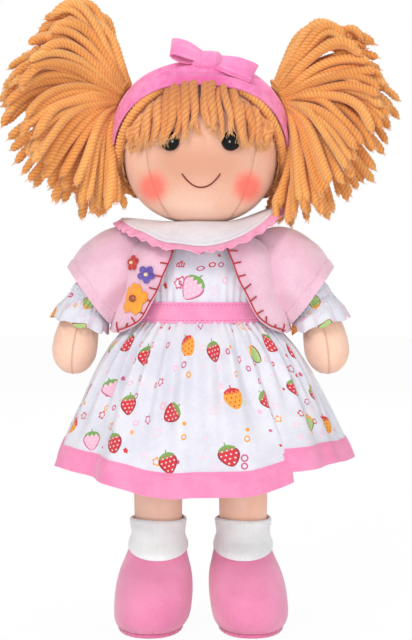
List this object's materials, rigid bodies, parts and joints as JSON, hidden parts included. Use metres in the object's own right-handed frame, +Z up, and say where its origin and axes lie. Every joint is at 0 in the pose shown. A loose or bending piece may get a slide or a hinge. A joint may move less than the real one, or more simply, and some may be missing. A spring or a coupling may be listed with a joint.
{
  "type": "rag doll",
  "caption": "Soft rag doll with yarn bunches, gathered dress, open felt jacket, ruffled collar, ankle socks and padded shoes; sewn joints let the head, arms and legs move.",
  "frame": {"origin": "on the floor under the soles, midway between the legs and midway front to back", "axes": "+Z up, -Y is the way the doll faces, +X is the doll's own left"},
  "size_m": [0.2282, 0.1232, 0.3453],
  "materials": {
    "skin_cotton": "woven cotton, matt",
    "print_cotton": "printed woven cotton, matt",
    "white_cotton": "cotton, matt",
    "rose_pink": "cotton, matt",
    "ribbon_pink": "satin-faced cotton ribbon",
    "jacket_felt": "brushed fleece felt",
    "shoe_velour": "short-pile velour",
    "yarn": "twisted acrylic yarn",
    "elastic": "covered elastic",
    "felt_red": "felt",
    "felt_violet": "felt",
    "felt_orange": "felt",
    "eye_plastic": "polished",
    "washer_plastic": "moulded"
  },
  "bodies": {
    "torso": {"torso": "skin_cotton", "bodice": "print_cotton", "waistband": "rose_pink", "skirt": "print_cotton", "skirt_hem": "rose_pink", "collar": "white_cotton", "collar_trim": "rose_pink", "jacket_back": "jacket_felt", "jacket_front_left": "jacket_felt", "jacket_front_right": "jacket_felt", "flower_red": "felt_red", "flower_violet": "felt_violet", "flower_orange": "felt_orange"},
    "neck": {"neck": "skin_cotton"},
    "head": {"head": "skin_cotton", "eye_left": "eye_plastic", "eye_right": "eye_plastic", "eye_washer_left": "washer_plastic", "eye_washer_right": "washer_plastic", "hair_cap": "yarn", "face_braid": "yarn", "fringe": "yarn", "headband": "ribbon_pink", "bow_knot": "ribbon_pink", "bow_loop_left": "ribbon_pink", "bow_loop_right": "ribbon_pink"},
    "hips": {"hip_gusset": "skin_cotton"},
    "bunch_left": {"bunch_left": "yarn", "hair_tie_left": "elastic"},
    "shoulder_left": {"shoulder_tab_left": "skin_cotton"},
    "arm_left": {"arm_left": "skin_cotton", "dress_sleeve_left": "print_cotton", "jacket_sleeve_left": "jacket_felt"},
    "leg_left": {"leg_left": "skin_cotton", "sock_left": "white_cotton", "shoe_left": "shoe_velour", "sole_left": "rose_pink"},
    "bunch_right": {"bunch_right": "yarn", "hair_tie_right": "elastic"},
    "shoulder_right": {"shoulder_tab_right": "skin_cotton"},
    "arm_right": {"arm_right": "skin_cotton", "dress_sleeve_right": "print_cotton", "jacket_sleeve_right": "jacket_felt"},
    "leg_right": {"leg_right": "skin_cotton", "sock_right": "white_cotton", "shoe_right": "shoe_velour", "sole_right": "rose_pink"}
  },
  "joints": [
    {"name": "neck_tilt", "type": "hinge", "parent": "torso", "child": "neck", "pos_m": [0, 0, 0.222], "axis": [0, 1, 0], "range_deg": [-5, 5], "stiffness_Nm_per_rad": 0.6},
    {"name": "neck_nod", "type": "hinge", "parent": "neck", "child": "head", "pos_m": [0, 0, 0.222], "axis": [1, 0, 0], "range_deg": [-10, 10], "stiffness_Nm_per_rad": 0.6},
    {"name": "sit", "type": "hinge", "parent": "torso", "child": "hips", "pos_m": [0, 0, 0.126], "axis": [-1, 0, 0], "range_deg": [0, 90], "deforming": ["skirt", "skirt_hem"]},
    {"name": "bunch_swing_left", "type": "hinge", "parent": "head", "child": "bunch_left", "pos_m": [0.04327, 0.0016, 0.29975], "axis": [0, -1, 0], "range_deg": [0, 20]},
    {"name": "arm_swing_left", "type": "hinge", "parent": "torso", "child": "shoulder_left", "pos_m": [0.046, 0, 0.199], "axis": [-1, 0, 0], "range_deg": [-35, 80]},
    {"name": "arm_raise_left", "type": "hinge", "parent": "shoulder_left", "child": "arm_left", "pos_m": [0.046, 0, 0.199], "axis": [0, -1, 0], "range_deg": [0, 45]},
    {"name": "leg_swing_left", "type": "hinge", "parent": "hips", "child": "leg_left", "pos_m": [0.024, 0, 0.126], "axis": [-1, 0, 0], "range_deg": [-20, 20], "deforming": ["skirt", "skirt_hem"]},
    {"name": "bunch_swing_right", "type": "hinge", "parent": "head", "child": "bunch_right", "pos_m": [-0.04327, 0.0016, 0.29975], "axis": [0, 1, 0], "range_deg": [0, 20]},
    {"name": "arm_swing_right", "type": "hinge", "parent": "torso", "child": "shoulder_right", "pos_m": [-0.046, 0, 0.199], "axis": [-1, 0, 0], "range_deg": [-35, 80]},
    {"name": "arm_raise_right", "type": "hinge", "parent": "shoulder_right", "child": "arm_right", "pos_m": [-0.046, 0, 0.199], "axis": [0, 1, 0], "range_deg": [0, 45]},
    {"name": "leg_swing_right", "type": "hinge", "parent": "hips", "child": "leg_right", "pos_m": [-0.024, 0, 0.126], "axis": [-1, 0, 0], "range_deg": [-20, 20], "deforming": ["skirt", "skirt_hem"]}
  ]
}
